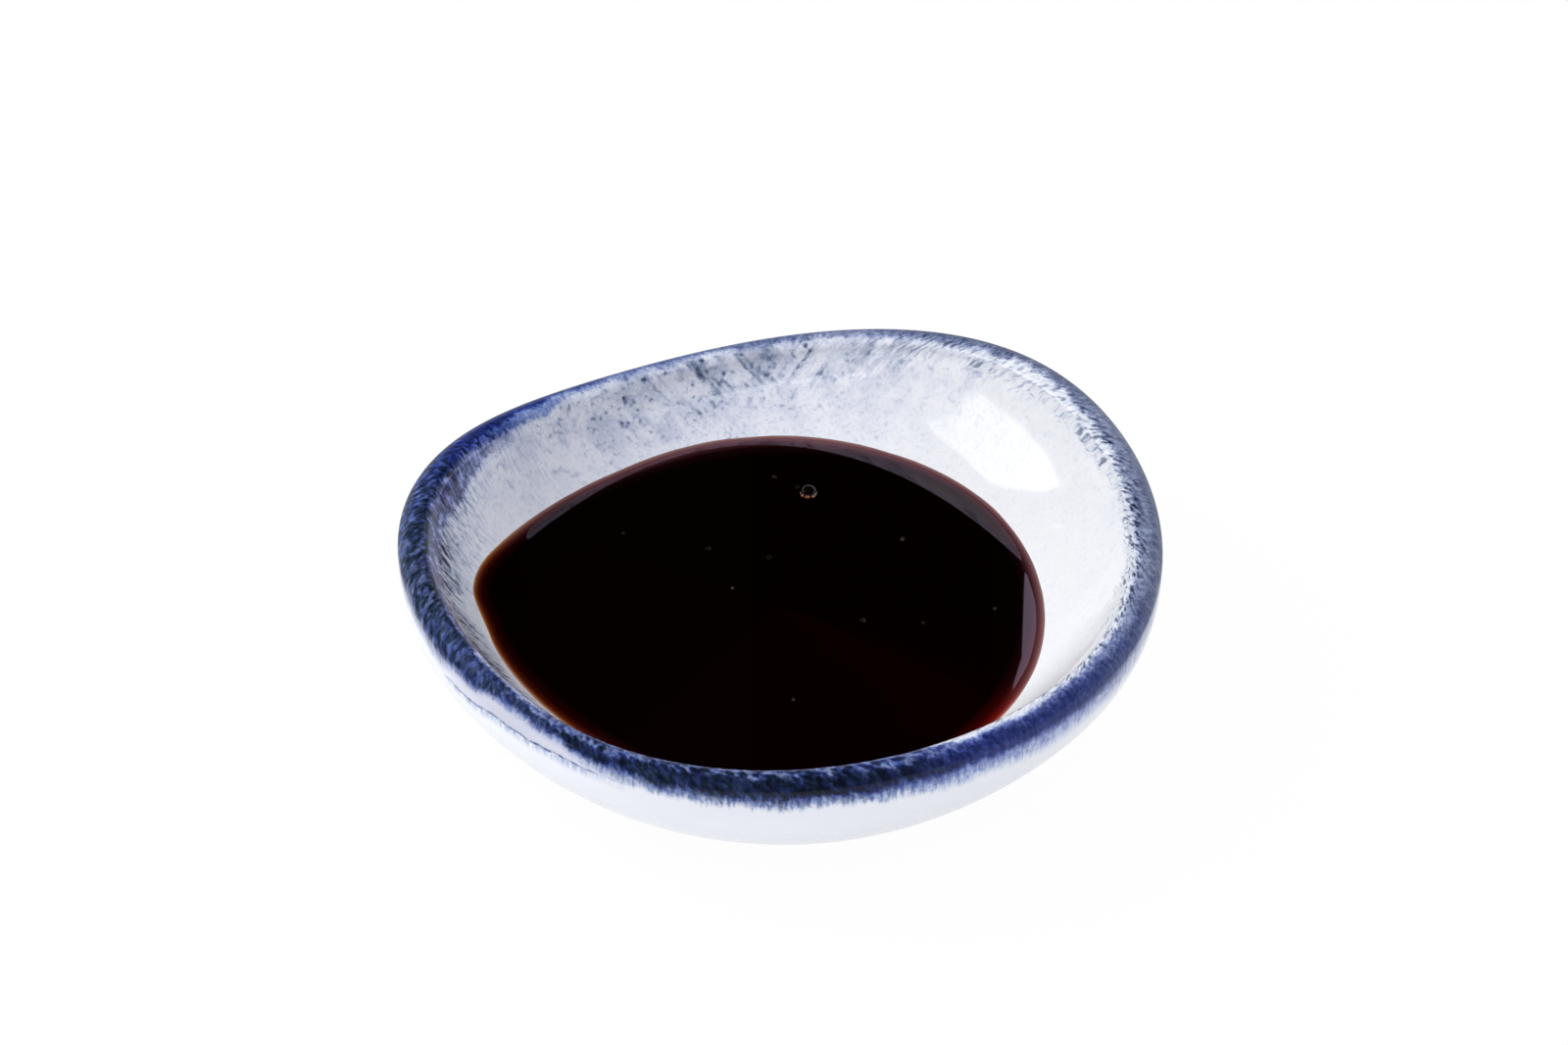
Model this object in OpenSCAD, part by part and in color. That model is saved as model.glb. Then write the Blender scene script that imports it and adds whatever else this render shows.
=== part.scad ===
// Small soy sauce dish: thick porcelain of free outline under a wavy rim, a round foot ring
// below, glaze coats over it, and the sauce that it holds. Sizes are taken over the glaze.
// The origin lies on the table, under the middle of the outline.

/* [Outline] */
// Mean width over the lip
dish_w = 100; // [90:1:130]
// How far the outline is drawn out along its long way, of the mean width
oval_share = 0.036; // [0:0.002:0.06]
// Direction of the long way, in degrees from +X
oval_turn = 92; // [0:1:180]
// How far the outline squares off towards its four sides, of the mean width
square_share = 0.02; // [0:0.001:0.03]
// Direction of one of the four sides
square_turn = -8; // [-45:1:45]
// How far the outline draws out at three places, of the mean width
third_share = 0.012; // [0:0.001:0.02]
// Direction of one of the three places
third_turn = 64; // [0:1:120]
// How far the outline moves over, which keeps its middle over the origin, of the mean width
lean_share = 0.012; // [0:0.001:0.02]
// Direction in which it moves over
lean_turn = -17; // [-180:1:180]

/* [Rim] */
// Mean height of the rim's crest above the table
rim_h = 20; // [19:0.5:30]
// Thickness of the lip, rounded over to a half circle
lip_t = 4.3; // [3.4:0.1:5]
// Rise of the crest towards its high side
tilt_h = 1.9; // [0:0.1:2.4]
// Direction of the high side
tilt_turn = 0; // [-180:1:180]
// Rise of the crest at two opposite sides
saddle_h = 2; // [0:0.1:2.8]
// Direction of one of the two sides
saddle_turn = 17; // [0:1:180]
// Rise of the crest at three places round the rim
wave_h = 1.7; // [0:0.1:2.8]
// Direction of one of the three places
wave_turn = 38; // [0:1:120]

/* [Base] */
// Mean width of the outline in which the belly ends below
base_w = 68; // [58:1:72]
// Mean width of the flat floor inside
floor_w = 55; // [50:0.5:58]
// How far the base and the floor bulge into three soft lobes
lobe_share = 0.1; // [0:0.01:0.15]
// Direction of one of the three lobes
lobe_turn = 43; // [0:1:120]
// How far the base stands off the middle of the rim, along X
base_shift_x = -1.7; // [-3:0.1:3]
// How far the base stands off the middle of the rim, along Y
base_shift_y = -1.1; // [-3:0.1:3]
// Height of the floor inside above the table
floor_h = 4.2; // [3.6:0.1:5.2]
// Height of the foot ring
foot_h = 1.4; // [1:0.1:2]
// Width of the band that the foot ring is made of
foot_band = 3; // [2:0.1:5]
// How far the foot ring stands in from the narrowest part of the base
foot_set = 1.6; // [1:0.1:5]
// Rounding of the foot ring's lower edges
foot_round = 0.5; // [0.2:0.1:0.9]

/* [Glaze] */
// Thickness of the glaze coats
glaze_t = 0.4; // [0.2:0.05:0.6]
// How far the blue band comes down inside the lip
band_in_h = 2; // [0.5:0.1:2.6]
// How far the blue band comes down outside the lip
band_out_h = 4; // [1:0.1:6]
// Bare porcelain left between a coat and the foot ring
glaze_stop = 0.6; // [0.3:0.1:0.9]

/* [Sauce] */
// Height of the sauce's level surface above the table
sauce_h = 8.2; // [6:0.1:8.5]
// Height that the sauce climbs at its edge
climb_h = 0.25; // [0.2:0.05:1.2]
// Width of the edge over which it climbs
climb_w = 1.6; // [1.2:0.1:8]
// Width of the largest air bubble
bubble_w = 2.2; // [1.5:0.1:3]
// Width of the small air bubbles
small_bubble_w = 0.8; // [0.6:0.1:1.2]

/* [Hidden] */
$fn = 64;

// Steps round the outline, and rows from the floor's edge to the base
turns = 72;
wet_steps = 5;
dry_steps = 4;
lip_steps = 8;
band_steps = 2;
belly_steps = 8;

// How steeply the bowl rises inside, and how full the belly is outside
bowl_power = 2;
belly_power = 2.8;
climb_power = 3;

// Rows on the climbing edge of the sauce, from the level surface outwards
climb_shares = [1, 0.7, 0.45, 0.25, 0.1];

// Air bubbles: places on the sauce as shares of the dish's mean width
big_bubble_shares = [0.04, 0.257];
small_bubble_shares = [
    [0.025, 0.271], [-0.006, 0.294], [-0.206, 0.161], [-0.093, 0.127], [-0.013, 0.107],
    [0.164, 0.15], [-0.06, 0.039], [0.109, -0.033], [0.187, -0.039], [0.28, -0.007],
    [0.018, -0.203]
];

lip_r = lip_t/2;
foot_r = base_w/2*(1 - lobe_share) - foot_set;
foot_inner_r = foot_r - foot_band;
// How deep the foot ring's top is sunk into the body, so that the two are one
foot_root = (floor_h - foot_h)/2;
contact_h = sauce_h + climb_h;
angles = [for (k = [0:turns - 1]) 360*k/turns];

function unit(a) = [cos(a), sin(a)];

// Half width over the lip, and height of the crest, in direction a
function outline_r(a) = dish_w/2
    *(1 + lean_share*cos(a - lean_turn) + oval_share*cos(2*(a - oval_turn))
        + third_share*cos(3*(a - third_turn)) + square_share*cos(4*(a - square_turn)));
function crest_z(a) = rim_h + tilt_h*cos(a - tilt_turn) + saddle_h*cos(2*(a - saddle_turn))
    + wave_h*cos(3*(a - wave_turn));
function lip_z(a) = crest_z(a) - lip_r;

// Point of the base's outline or the floor's, for its mean width w
function lobed(a, w) = w/2*(1 + lobe_share*cos(3*(a - lobe_turn)))*unit(a) + [base_shift_x, base_shift_y];

// The surfaces of the dish, and with a depth d under them. q runs from the floor's edge, 0, to
// the lip, 1. t is the lip's own angle, 180 inside and 0 outside. u runs from the base, 0, to
// the lip, 1.
function bowl_pt(a, q, d) =
    let (p = (1 - q)*lobed(a, floor_w) + q*(outline_r(a) - lip_t + d)*unit(a), low = floor_h - d)
    [p.x, p.y, low + (lip_z(a) - low)*pow(q, bowl_power)];
function lip_pt(a, t, d) =
    let (p = (outline_r(a) - lip_r + (lip_r - d)*cos(t))*unit(a))
    [p.x, p.y, lip_z(a) + (lip_r - d)*sin(t)];
function belly_pt(a, u, d) =
    let (q = 1 - pow(1 - u, belly_power), low = foot_h + d,
        p = (1 - q)*lobed(a, base_w) + q*(outline_r(a) - d)*unit(a))
    [p.x, p.y, low + (lip_z(a) - low)*u];

// Where the sauce ends, where the blue band starts inside, and where it ends outside
function bowl_q(a, z) = pow((z - floor_h)/(lip_z(a) - floor_h), 1/bowl_power);
function wet_q(a) = bowl_q(a, contact_h);
function band_q(a) = bowl_q(a, lip_z(a) - band_in_h);
function band_u(a) = 1 - band_out_h/(lip_z(a) - foot_h);

// Rows of points round the dish, each coat's in turn from the floor to the base
function wet_rows(d) = [for (j = [0:wet_steps]) [for (a = angles) bowl_pt(a, wet_q(a)*j/wet_steps, d)]];
function dry_rows(d) = [for (j = [0:dry_steps])
    [for (a = angles) bowl_pt(a, wet_q(a) + (band_q(a) - wet_q(a))*j/dry_steps, d)]];
function band_rows(d) = concat(
    [for (j = [0:band_steps - 1])
        [for (a = angles) bowl_pt(a, band_q(a) + (1 - band_q(a))*j/band_steps, d)]],
    [for (j = [0:lip_steps]) [for (a = angles) lip_pt(a, 180*(1 - j/lip_steps), d)]],
    [for (j = [1:band_steps]) [for (a = angles) belly_pt(a, 1 - (1 - band_u(a))*j/band_steps, d)]]);
function belly_rows(d) = [for (j = [0:belly_steps])
    [for (a = angles) belly_pt(a, band_u(a)*(1 - j/belly_steps), d)]];
function under_row(z) = [for (a = angles) let (p = (foot_r + glaze_stop)*unit(a))
    [p.x + base_shift_x, p.y + base_shift_y, z]];
function without_first(rows) = [for (j = [1:len(rows) - 1]) rows[j]];

// Rows on the sauce's edge, at shares of the climb's width in from where it meets the wall
function climb_row(share) = [for (a = angles)
    let (edge = bowl_pt(a, wet_q(a), 0), r = norm([edge.x, edge.y]), s = (r - climb_w*share)/r)
    [edge.x*s, edge.y*s, sauce_h + climb_h*pow(1 - share, climb_power)]];

// Triangles between ring p and ring q, and from ring p to a point
function strip(p, q, back) = [for (k = [0:turns - 1])
    let (n = (k + 1)%turns, a = p*turns + k, b = p*turns + n, c = q*turns + n, d = q*turns + k)
    each back ? [[a, c, b], [a, d, c]] : [[a, b, c], [a, c, d]]];
function fan(p, point, back) = [for (k = [0:turns - 1])
    let (a = p*turns + k, b = p*turns + (k + 1)%turns)
    back ? [point, a, b] : [point, b, a]];

// Closed skin: front rows run outwards over its upper side, back rows over its lower side.
// A capped skin is closed over the middle, an open one is a ring.
module skin(front, back, capped) {
    f = len(front);
    b = len(back);
    rings = concat(front, back);
    middle = [base_shift_x, base_shift_y];
    centres = capped ? [[middle.x, middle.y, front[0][0].z], [middle.x, middle.y, back[0][0].z]] : [];
    ends = capped ? concat(fan(0, (f + b)*turns, false), fan(f, (f + b)*turns + 1, true)) : strip(0, f, true);
    polyhedron(
        concat([for (ring = rings) each ring], centres),
        concat(
            [for (j = [0:f - 2]) each strip(j, j + 1, false)],
            b > 1 ? [for (j = [0:b - 2]) each strip(f + j, f + j + 1, true)] : [],
            strip(f - 1, f + b - 1, false),
            ends),
        convexity = 6);
}

module foot_section() {
    translate([foot_inner_r, foot_round]) square([foot_band, foot_h + foot_root - foot_round]);
    translate([foot_inner_r + foot_round, 0]) square([foot_band - 2*foot_round, foot_h]);
    for (x = [foot_inner_r + foot_round, foot_r - foot_round])
        translate([x, foot_round]) circle(foot_round);
}

module porcelain_body() {
    color("whitesmoke") union() {
        skin(
            concat(wet_rows(glaze_t), without_first(dry_rows(glaze_t)),
                without_first(band_rows(glaze_t)), without_first(belly_rows(glaze_t))),
            [under_row(foot_h + glaze_t)], true);
        translate([base_shift_x, base_shift_y, 0]) rotate_extrude() foot_section();
    }
}

module inner_glaze() {
    color("ghostwhite") skin(
        concat(wet_rows(0), without_first(dry_rows(0))),
        concat(wet_rows(glaze_t), without_first(dry_rows(glaze_t))), true);
}

module rim_glaze() {
    color("darkslateblue") skin(band_rows(0), band_rows(glaze_t), false);
}

module outer_glaze() {
    color("white") skin(
        concat(belly_rows(0), [under_row(foot_h)]),
        concat(belly_rows(glaze_t), [under_row(foot_h + glaze_t)]), false);
}

module base_glaze() {
    color("white") translate([base_shift_x, base_shift_y, foot_h])
        cylinder(h = glaze_t, r = foot_inner_r - glaze_stop);
}

module soy_sauce() {
    color("#1c0604") skin([for (share = climb_shares) climb_row(share)], wet_rows(0), true);
}

module bubble(shares, w) {
    translate([shares.x*dish_w, shares.y*dish_w, sauce_h]) intersection() {
        sphere(d = w);
        translate([-w, -w, 0]) cube([2*w, 2*w, w]);
    }
}

module air_bubbles() {
    color("rosybrown") {
        bubble(big_bubble_shares, bubble_w);
        for (shares = small_bubble_shares) bubble(shares, small_bubble_w);
    }
}

porcelain_body();
inner_glaze();
rim_glaze();
outer_glaze();
base_glaze();
soy_sauce();
air_bubbles();
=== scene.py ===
# Soy sauce dish: painted porcelain with a pool of sauce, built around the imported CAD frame
import math

import bpy
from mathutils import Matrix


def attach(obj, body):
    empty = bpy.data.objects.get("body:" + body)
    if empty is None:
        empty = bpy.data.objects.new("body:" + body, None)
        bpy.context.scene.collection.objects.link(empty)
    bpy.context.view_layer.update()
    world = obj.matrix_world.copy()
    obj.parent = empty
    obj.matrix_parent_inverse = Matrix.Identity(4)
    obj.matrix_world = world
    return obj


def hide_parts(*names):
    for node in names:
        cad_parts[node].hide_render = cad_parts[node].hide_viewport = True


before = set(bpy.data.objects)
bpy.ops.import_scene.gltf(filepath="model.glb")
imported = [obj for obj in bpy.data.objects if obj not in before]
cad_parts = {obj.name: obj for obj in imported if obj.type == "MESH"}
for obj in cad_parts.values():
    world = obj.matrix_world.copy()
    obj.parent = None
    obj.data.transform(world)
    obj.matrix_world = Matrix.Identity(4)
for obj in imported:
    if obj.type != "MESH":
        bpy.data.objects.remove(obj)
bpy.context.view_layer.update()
mm = 0.001

# Camera: the photograph's view, 35 degrees above the table
cameraSetup = {
    "target": (0.68, 16.23, 10.0),  # mm, the point in the middle of the picture
    "elevation": 35.0,
    "distance": 650.0,
    "lens": 112.7,
    "sensor": 36.0,
}


def makeCamera(setup):
    data = bpy.data.cameras.new("photoCamera")
    data.sensor_width = setup["sensor"]
    data.lens = setup["lens"]
    data.clip_start = 0.01
    data.clip_end = 20.0
    camera = bpy.data.objects.new("photoCamera", data)
    bpy.context.scene.collection.objects.link(camera)
    tilt = math.radians(setup["elevation"])
    x, y, z = setup["target"]
    back = setup["distance"] * math.cos(tilt)
    up = setup["distance"] * math.sin(tilt)
    camera.location = (x * mm, (y - back) * mm, (z + up) * mm)
    camera.rotation_euler = (math.pi / 2 - tilt, 0, 0)
    bpy.context.scene.camera = camera


makeCamera(cameraSetup)
print("camera placed")


# Node helpers
class Wire:
    # one number in a node tree, so that a rule can be written as a sum

    def __init__(self, tree, socket):
        self.tree = tree
        self.socket = socket

    def math(self, operation, *others):
        node = self.tree.nodes.new("ShaderNodeMath")
        node.operation = operation
        feed(self.tree, node.inputs[0], self)
        for place, other in enumerate(others, start=1):
            feed(self.tree, node.inputs[place], other)
        return Wire(self.tree, node.outputs[0])

    def __add__(self, other):
        return self.math("ADD", other)

    def __sub__(self, other):
        return self.math("SUBTRACT", other)

    def __mul__(self, other):
        return self.math("MULTIPLY", other)

    def __truediv__(self, other):
        return self.math("DIVIDE", other)

    def __pow__(self, other):
        return self.math("POWER", other)

    __radd__ = __add__
    __rmul__ = __mul__

    def __rsub__(self, other):
        return self * -1 + other

    def cosine(self):  # of an angle in degrees
        return (self * (math.pi / 180)).math("COSINE")

    def sine(self):
        return (self * (math.pi / 180)).math("SINE")

    def __abs__(self):
        return self.math("ABSOLUTE")

    def atLeast(self, other):
        return self.math("MAXIMUM", other)

    def clamped(self, low=0.0, high=1.0):
        return self.atLeast(low).math("MINIMUM", high)

    def under(self, other):  # 1 where it is less, else 0
        return self.math("LESS_THAN", other)

    def over(self, other):
        return self.math("GREATER_THAN", other)

    def ease(self, low, high):  # 0 at low, 1 at high, smooth between
        node = self.tree.nodes.new("ShaderNodeMapRange")
        node.interpolation_type = "SMOOTHSTEP"
        feed(self.tree, node.inputs["Value"], self)
        feed(self.tree, node.inputs["From Min"], low)
        feed(self.tree, node.inputs["From Max"], high)
        return Wire(self.tree, node.outputs["Result"])


def feed(tree, socket, value):
    if isinstance(value, Wire):
        tree.links.new(value.socket, socket)
    elif isinstance(value, bpy.types.NodeSocket):
        tree.links.new(value, socket)
    else:
        socket.default_value = value


def fixedNumber(tree, value):
    node = tree.nodes.new("ShaderNodeValue")
    node.outputs[0].default_value = value
    return Wire(tree, node.outputs[0])


def blend(share, first, second):  # first at share 0, second at share 1
    if isinstance(first, tuple):
        return tuple(blend(share, a, b) for a, b in zip(first, second))
    return first * (1 - share) + second * share


def joined(tree, x, y, z):
    node = tree.nodes.new("ShaderNodeCombineXYZ")
    for socket, value in zip(node.inputs, (x, y, z)):
        feed(tree, socket, value)
    return node.outputs[0]


def split(tree, vector):
    node = tree.nodes.new("ShaderNodeSeparateXYZ")
    tree.links.new(vector, node.inputs[0])
    return [Wire(tree, socket) for socket in node.outputs]


def softCorner(share, start, corner, end):  # rounds a corner between two runs
    rest = 1 - share
    first, middle, last = rest * rest, share * rest * 2, share * share
    return tuple(a * first + b * middle + c * last for a, b, c in zip(start, corner, end))


def span(first, second):
    return sum((a - b) ** 2 for a, b in zip(first, second)) ** 0.5


# The dish's own sizes, in mm and degrees, as in the CAD part
dish = {
    "Dish width": 100.0,
    "Oval share": 0.036,
    "Oval turn": 92.0,
    "Square share": 0.02,
    "Square turn": -8.0,
    "Third share": 0.012,
    "Third turn": 64.0,
    "Lean share": 0.012,
    "Lean turn": -17.0,
    "Rim height": 20.0,
    "Lip thickness": 4.3,
    "Tilt height": 1.9,
    "Tilt turn": 0.0,
    "Saddle height": 2.0,
    "Saddle turn": 17.0,
    "Wave height": 1.7,
    "Wave turn": 38.0,
    "Base width": 68.0,
    "Floor width": 55.0,
    "Lobe share": 0.1,
    "Lobe turn": 43.0,
    "Base shift X": -1.7,
    "Base shift Y": -1.1,
    "Floor height": 4.2,
    "Foot height": 1.4,
    "Foot ring outer radius": 29.0,
    "Glaze thickness": 0.4,
    "Glaze stop": 0.6,
    "Band inside": 2.0,
    "Band outside": 4.0,
    "Belly power": 2.8,
    "Shoulder share": 0.1,  # how much of the wall and lip the soft corner between them takes
    "Edge share": 0.08,
}


class DishRule:
    # the dish's surfaces as rules in a geometry node tree

    def __init__(self, tree, sizes, angle):
        self.tree = tree
        self.sizes = sizes
        self.angle = angle
        s = sizes
        self.unitX = angle.cosine()
        self.unitY = angle.sine()

        def wave(label, crests):  # rises and falls so many times around the dish
            turn = s[label.split()[0] + " turn"]
            return s[label] * ((angle - turn) * crests).cosine()

        swell = wave("Lean share", 1) + wave("Oval share", 2)
        swell = swell + wave("Third share", 3) + wave("Square share", 4)
        self.outline = s["Dish width"] / 2 * (swell + 1)
        rise = wave("Tilt height", 1) + wave("Saddle height", 2) + wave("Wave height", 3)
        self.lipRadius = s["Lip thickness"] / 2
        self.lipHeight = s["Rim height"] + rise - self.lipRadius
        self.lobe = wave("Lobe share", 3) + 1

    def outward(self, reach):
        return (reach * self.unitX, reach * self.unitY)

    def based(self, reach):  # around the middle of the base, which lies off the rim's
        x, y = self.outward(reach)
        return (x + self.sizes["Base shift X"], y + self.sizes["Base shift Y"])

    def lobed(self, width):
        return self.based(self.sizes[width] / 2 * self.lobe)

    def wall(self, share, depth):  # 0 at the floor's edge, 1 at the lip
        low = self.sizes["Floor height"] - depth
        top = self.outward(self.outline - self.sizes["Lip thickness"] + depth)
        flat = blend(share, self.lobed("Floor width"), top)
        return (*flat, low + (self.lipHeight - low) * (share * share))

    def lip(self, turn, depth):  # 180 degrees inside, 0 outside
        reach = self.outline - self.lipRadius + (self.lipRadius - depth) * turn.cosine()
        return (*self.outward(reach), self.lipHeight + (self.lipRadius - depth) * turn.sine())

    def belly(self, share, depth):  # 1 at the lip, 0 at the base
        bulge = 1 - (1 - share).clamped() ** self.sizes["Belly power"]
        low = self.sizes["Foot height"] + depth
        flat = blend(bulge, self.lobed("Base width"), self.outward(self.outline - depth))
        return (*flat, low + (self.lipHeight - low) * share)

    def floor(self, share, depth):
        middle = (self.sizes["Base shift X"], self.sizes["Base shift Y"])
        flat = blend(share, middle, self.lobed("Floor width"))
        return (*flat, self.sizes["Floor height"] - depth)

    def under(self, share, depth):  # 0 at the base's edge, 1 near the foot ring
        ring = self.based(self.sizes["Foot ring outer radius"] + self.sizes["Glaze stop"])
        return (*blend(share, self.lobed("Base width"), ring), self.sizes["Foot height"] + depth)

    def wallShareAt(self, height):
        low = self.sizes["Floor height"]
        return ((height - low) / (self.lipHeight - low)) ** 0.5

    def place(self, along, depth):
        # along: 0 to 1 floor, to 2 wall, to 3 lip, to 4 belly, to 5 underside
        spot = self.floor(along.clamped(), depth)
        lip = self.lip((3 - along).clamped() * 180, depth)
        under = self.under((along - 4).clamped(), depth)
        wall = self.wall((along - 1).clamped(), depth)
        belly = self.belly((4 - along).clamped(), depth)
        for stop, stretch in enumerate((wall, lip, belly, under), start=1):
            spot = blend(along.over(stop), spot, stretch)

        def rounded(stop, share, start, corner, end):
            turn = ((along - stop) / share + 1) / 2
            near = abs(along - stop).under(share)
            return blend(near, spot, softCorner(turn.clamped(), start, corner, end))

        one = fixedNumber(self.tree, 1.0)
        shoulder = self.sizes["Shoulder share"]
        start = self.wall(one - shoulder, depth)
        spot = rounded(2, shoulder, start, self.wall(one, depth), self.lip((one - shoulder) * 180, depth))
        edge = self.sizes["Edge share"]
        return rounded(4, edge, self.belly(edge, depth), self.belly(one * 0, depth), self.under(edge, depth))

    def across(self, along, spot):
        # mm along the section from the crest, above 0 inside and below 0 outside
        inEdge = self.outward(self.outline - self.sizes["Lip thickness"])
        inner = span(spot, (*inEdge, self.lipHeight))
        outer = span(spot, (*self.outward(self.outline), self.lipHeight))
        quarter = self.lipRadius * (math.pi / 2)
        onLip = (2.5 - along) * 2 * quarter
        value = blend(along.under(2), onLip, quarter + inner)
        return blend(along.over(3), value, (quarter + outer) * -1)


def addSocket(tree, label, kind, way="INPUT"):
    return tree.interface.new_socket(name=label, in_out=way, socket_type="NodeSocket" + kind)


def addNumbers(tree, numbers, counts=()):
    for label, value in numbers.items():
        addSocket(tree, label, "Int" if label in counts else "Float").default_value = value
    entry = tree.nodes.new("NodeGroupInput")
    return entry, {label: Wire(tree, entry.outputs[label]) for label in numbers}


def newTree(name, numbers, counts=(), fromMesh=False):
    tree = bpy.data.node_groups.new(name, "GeometryNodeTree")
    if fromMesh:
        addSocket(tree, "Geometry", "Geometry")
    addSocket(tree, "Finish", "Material")
    addSocket(tree, "Geometry", "Geometry", "OUTPUT")
    entry, wires = addNumbers(tree, numbers, counts)
    return tree, wires, entry.outputs["Finish"]


def gridRows(tree, rows, around):
    # a flat grid of rows by columns; gives the mesh, the angle and the share of the rows
    grid = tree.nodes.new("GeometryNodeMeshGrid")
    feed(tree, grid.inputs["Vertices X"], around + 1)
    feed(tree, grid.inputs["Vertices Y"], rows + 1)
    place = tree.nodes.new("GeometryNodeInputPosition")
    x, y = split(tree, place.outputs[0])[:2]
    return grid.outputs["Mesh"], (x + 0.5) * 360, y + 0.5


def thereAndBack(size, share):
    # 1 on the rows of the way back, and the share of the way that each row has come
    step = share * (size["Rows"] * 2 + 1)
    back = step.over(size["Rows"] + 0.5)
    return back, blend(back, step, size["Rows"] * 2 + 1 - step) / size["Rows"]


def after(tree, mesh, kind):
    node = tree.nodes.new("GeometryNode" + kind)
    tree.links.new(mesh, node.inputs["Geometry"])
    return node


def keepNumber(tree, mesh, label, value):
    node = after(tree, mesh, "StoreNamedAttribute")
    node.data_type = "FLOAT"
    node.domain = "POINT"
    node.inputs["Name"].default_value = label
    feed(tree, [socket for socket in node.inputs if socket.name == "Value" and socket.enabled][0], value)
    return node.outputs["Geometry"]


def shaped(tree, mesh, spot):
    node = after(tree, mesh, "SetPosition")
    feed(tree, node.inputs["Position"], joined(tree, *[value * mm for value in spot]))
    merge = after(tree, node.outputs["Geometry"], "MergeByDistance")
    merge.inputs["Distance"].default_value = 1e-6
    return merge.outputs["Geometry"]


def finished(tree, mesh, finish):
    smooth = after(tree, mesh, "SetShadeSmooth")
    real = after(tree, smooth.outputs["Geometry"], "RealizeInstances")
    cover = after(tree, real.outputs["Geometry"], "SetMaterial")
    tree.links.new(finish, cover.inputs["Material"])
    tree.links.new(cover.outputs["Geometry"], tree.nodes.new("NodeGroupOutput").inputs["Geometry"])


sharpAngle = 55  # degrees, from which an edge shades as a sharp one


def grow(name, tree, values, material, start=None):
    # runs a tree on a new object and keeps the result as a plain mesh
    base = bpy.data.meshes.new(name + "Start")
    if start:
        start(base)
    piece = bpy.data.objects.new(name, base)
    bpy.context.scene.collection.objects.link(piece)
    modifier = piece.modifiers.new("shape", "NODES")
    modifier.node_group = tree
    for item in tree.interface.items_tree:
        if item.item_type == "SOCKET" and item.in_out == "INPUT":
            if item.name in values:
                modifier[item.identifier] = values[item.name]
            elif item.name == "Finish":
                modifier[item.identifier] = material
    bpy.context.view_layer.update()
    shape = bpy.data.meshes.new_from_object(piece.evaluated_get(bpy.context.evaluated_depsgraph_get()))
    piece.modifiers.clear()
    piece.data = shape
    shape.name = name
    shape.set_sharp_from_angle(angle=math.radians(sharpAngle))
    bpy.data.meshes.remove(base)
    print("made", name, "with", len(shape.polygons), "faces")
    return piece


# Coats of glaze: closed skins between two stops of the section
coats = {"Around": 288, "Rows": 64, "From stop": 0, "To stop": 1}


def makeCoatTree():
    numbers = dict(dish, **coats)
    tree, size, finish = newTree("glazeCoat", numbers, counts=tuple(coats))
    mesh, angle, share = gridRows(tree, size["Rows"] * 2 + 1, size["Around"])
    rule = DishRule(tree, size, angle)
    inner = rule.wallShareAt(rule.lipHeight - size["Band inside"]) + 1
    outer = size["Band outside"] / (rule.lipHeight - size["Foot height"]) + 3
    stops = [fixedNumber(tree, 0.0), inner, outer, fixedNumber(tree, 5.0)]

    def stopAt(index):
        value = stops[0]
        for count, stop in enumerate(stops[1:]):
            value = blend(index.over(count + 0.5), value, stop)
        return value

    # the rows go out along the face of the glaze and come back along the body behind it
    behind, forward = thereAndBack(size, share)
    along = blend(forward, stopAt(size["From stop"]), stopAt(size["To stop"]))
    spot = rule.place(along, size["Glaze thickness"] * behind)
    mesh = keepNumber(tree, mesh, "across", rule.across(along, spot))
    mesh = shaped(tree, mesh, spot)
    finished(tree, mesh, finish)
    return tree


# Shader helpers
def shaderGroup(name, numbers, outputs):
    # a group that takes a place and these numbers, and gives outputs of these kinds
    group = bpy.data.node_groups.new(name, "ShaderNodeTree")
    addSocket(group, "Place", "Vector")
    for label, kind in outputs.items():
        addSocket(group, label, kind, "OUTPUT")
    entry, wires = addNumbers(group, numbers)
    return group, entry.outputs["Place"], wires, group.nodes.new("NodeGroupOutput")


def useGroup(tree, group, **values):
    node = tree.nodes.new("ShaderNodeGroup")
    node.node_tree = group
    for label, value in values.items():
        feed(tree, node.inputs[label], value)
    return node


def sRGB(red, green, blue):
    # a colour as a picture editor gives it, 0 to 255, for a colour socket
    parts = []
    for part in (red, green, blue):
        share = part / 255
        parts.append(share / 12.92 if share <= 0.04045 else ((share + 0.055) / 1.055) ** 2.4)
    return (*parts, 1.0)


def mixed(tree, share, first, second, how="MIX"):
    node = tree.nodes.new("ShaderNodeMix")
    node.data_type = "RGBA"
    node.blend_type = how
    # of its sockets, 0 is the share and 6 and 7 are the colours
    for place, value in ((0, share), (6, first), (7, second)):
        feed(tree, node.inputs[place], value)
    return node.outputs[2]


def multiplied(tree, first, second):
    return mixed(tree, 1.0, first, second, "MULTIPLY")


def rimTurn(tree, place):
    # the angle around the dish as a share of 0 to 1 that begins at the back
    x, y = split(tree, place)[:2]
    return (y.math("ARCTAN2", x) / (2 * math.pi) + 0.75).math("FRACT")


def noiseAt(tree, vector, scale=1.0, detail=2.0, roughness=0.5):
    node = tree.nodes.new("ShaderNodeTexNoise")
    feed(tree, node.inputs["Vector"], vector)
    feed(tree, node.inputs["Scale"], scale)
    feed(tree, node.inputs["Detail"], detail)
    feed(tree, node.inputs["Roughness"], roughness)
    return Wire(tree, node.outputs[0])


def cellsAt(tree, vector, scale):
    # gives the distance from a cell's middle and a number of the cell's own
    node = tree.nodes.new("ShaderNodeTexVoronoi")
    feed(tree, node.inputs["Vector"], vector)
    feed(tree, node.inputs["Scale"], scale)
    return Wire(tree, node.outputs["Distance"]), split(tree, node.outputs["Color"])[0]


ringRadius = 48.0  # mm, the rim's mean radius, which turns an angle into mm along the rim


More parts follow.
